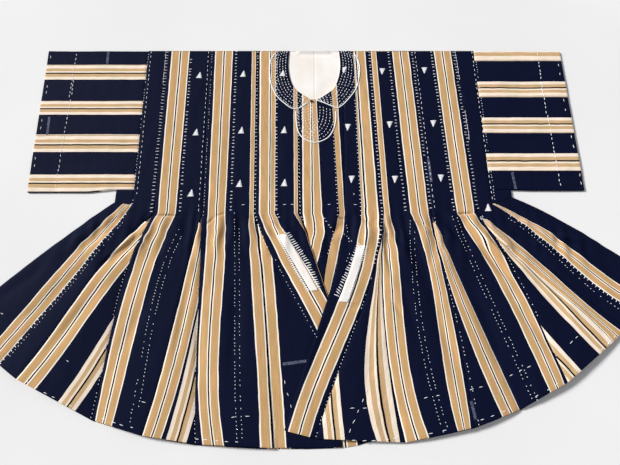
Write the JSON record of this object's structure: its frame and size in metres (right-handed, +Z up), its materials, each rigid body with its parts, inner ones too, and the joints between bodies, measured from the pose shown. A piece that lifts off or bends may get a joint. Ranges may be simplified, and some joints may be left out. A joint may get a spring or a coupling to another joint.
{
  "type": "batakari smock",
  "caption": "Flared smock of hand-woven striped strips with wide straight sleeves and a corded V neck, laid flat.",
  "frame": {"origin": "middle of the smock's outline, on the surface it lies on", "axes": "+X across the chest towards the wearer's left sleeve, +Y from the hem to the shoulders, +Z up out of the cloth"},
  "size_m": [1.4388, 0.901, 0.0121],
  "materials": {
    "strip_cloth": "matt hand-loomed indigo cotton with tan and cream stripes",
    "lining_cotton": "matt off-white plain-woven cotton",
    "white_cord": "soft twisted cotton cord",
    "black_button": "half-gloss black"
  },
  "bodies": {
    "root": {"back_gore_1": "strip_cloth", "back_gore_2": "strip_cloth", "back_gore_3": "strip_cloth", "back_gore_4": "strip_cloth", "back_side_left": "strip_cloth", "back_side_right": "strip_cloth", "back_strip_1": "strip_cloth", "back_strip_2": "strip_cloth", "back_strip_3": "strip_cloth", "back_strip_4": "strip_cloth", "back_strip_5": "strip_cloth", "back_strip_6": "strip_cloth", "back_strip_7": "strip_cloth", "back_strip_8": "strip_cloth", "back_strip_9": "strip_cloth", "front_gore_1": "strip_cloth", "front_gore_2": "strip_cloth", "front_gore_3": "strip_cloth", "front_gore_4": "strip_cloth", "front_gore_5": "strip_cloth", "front_side_left": "strip_cloth", "front_side_right": "strip_cloth", "front_strip_1": "strip_cloth", "front_strip_2": "strip_cloth", "front_strip_3": "strip_cloth", "front_strip_4": "strip_cloth", "front_strip_5": "strip_cloth", "front_strip_6": "strip_cloth", "front_strip_7": "strip_cloth", "front_strip_8": "strip_cloth", "front_strip_9": "strip_cloth", "front_under_gore": "strip_cloth", "gusset_left": "strip_cloth", "gusset_right": "strip_cloth", "neck_button": "black_button", "neck_lining_left": "lining_cotton", "neck_lining_right": "lining_cotton", "placket_cord": "white_cord", "pocket_facing_left": "lining_cotton", "pocket_facing_right": "lining_cotton", "sleeve_left": "strip_cloth", "sleeve_right": "strip_cloth", "yoke_cord_left": "white_cord", "yoke_cord_right": "white_cord"}
  },
  "joints": []
}
